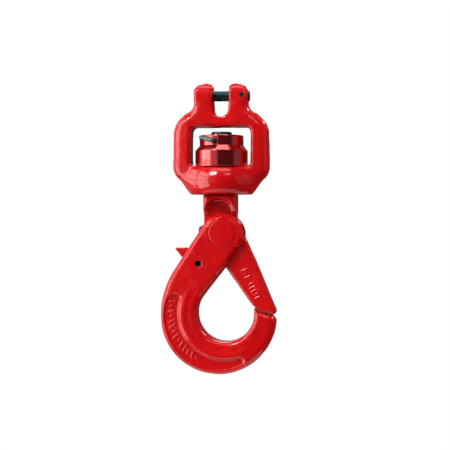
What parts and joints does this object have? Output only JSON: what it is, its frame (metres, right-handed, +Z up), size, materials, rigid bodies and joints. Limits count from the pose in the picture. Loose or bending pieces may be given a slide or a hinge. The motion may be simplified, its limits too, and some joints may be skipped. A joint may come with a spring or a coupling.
{
  "type": "swivel hook",
  "caption": "Clevis swivel hook with a self-locking jaw: yoke, turning shank, hinged bowl and thumb trigger for lifting chain.",
  "frame": {"origin": "centre of the clevis pin, midway between the two ears", "axes": "+Z up along the swivel axis, +X towards the arm side along the clevis pin, -Y towards the front"},
  "size_m": [0.1006, 0.057, 0.2534],
  "materials": {
    "red_enamel": "gloss",
    "black_oxide": "satin",
    "zinc": "satin",
    "spring_steel": "satin",
    "bearing_steel": "polished",
    "brass_cage": "satin",
    "seal_rubber": "matte"
  },
  "bodies": {
    "yoke": {"yoke": "red_enamel", "clevis_pin": "black_oxide", "clevis_keeper_pin": "black_oxide", "bearing_lower_race": "bearing_steel"},
    "ball_cage": {"bearing_balls": "bearing_steel", "bearing_cage": "brass_cage"},
    "shank": {"shank_arm": "red_enamel", "swivel_nut": "red_enamel", "nut_split_pin": "zinc", "bearing_upper_race": "bearing_steel", "bearing_dust_seal": "seal_rubber"},
    "hook": {"hook_body": "red_enamel", "load_pin": "red_enamel", "trigger_pin": "black_oxide", "trigger_spring": "spring_steel"},
    "trigger": {"trigger": "red_enamel"}
  },
  "joints": [
    {"name": "swivel", "type": "hinge", "parent": "yoke", "child": "shank", "pos_m": [0, 0, -0.0572], "axis": [0, 0, 1], "continuous": true},
    {"name": "bearing_orbit", "type": "hinge", "parent": "yoke", "child": "ball_cage", "pos_m": [0, 0, -0.0572], "axis": [0, 0, 1], "continuous": true},
    {"name": "hook_open", "type": "hinge", "parent": "shank", "child": "hook", "pos_m": [0.0015, 0, -0.1184], "axis": [0, 1, 0], "range_deg": [0, 45]},
    {"name": "trigger_press", "type": "hinge", "parent": "hook", "child": "trigger", "pos_m": [-0.0188, 0, -0.1452], "axis": [0, -1, 0], "range_deg": [0, 27], "stiffness_Nm_per_rad": 0.1, "springref_deg": -17.19, "deforming": ["trigger_spring"]}
  ],
  "couplings": [
    {"joint": "bearing_orbit", "follows": "swivel", "ratio": 0.5},
    {"joint": "trigger_press", "follows": "hook_open", "ratio": 0.6}
  ]
}
